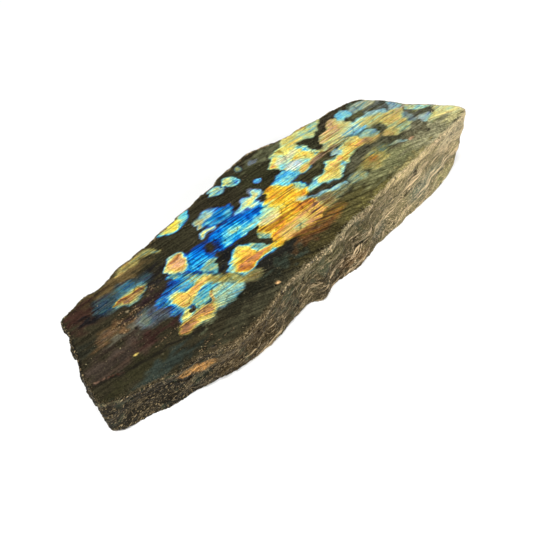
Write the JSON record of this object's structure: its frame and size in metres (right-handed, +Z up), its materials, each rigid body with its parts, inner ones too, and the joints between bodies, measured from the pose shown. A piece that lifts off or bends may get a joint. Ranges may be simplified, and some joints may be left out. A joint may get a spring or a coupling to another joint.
{
  "type": "semi-polished labradorite slab",
  "caption": "Wedge-shaped slab of labradorite, one natural stone with a polished face, a sawn flat back and rough broken walls; it lies on its back to show the flashing face.",
  "frame": {"origin": "centre of the bounding box in plan, on the plane of the sawn back", "axes": "+X along the slab's length, towards its thicker end; +Z up, out of the polished face's side"},
  "size_m": [0.202, 0.0646, 0.031],
  "materials": {
    "labradorite": "semi-polished: a glossy face with blue and gold flashes over dark olive feldspar, rough broken walls"
  },
  "bodies": {
    "root": {"labradorite_slab": "labradorite"}
  },
  "joints": []
}
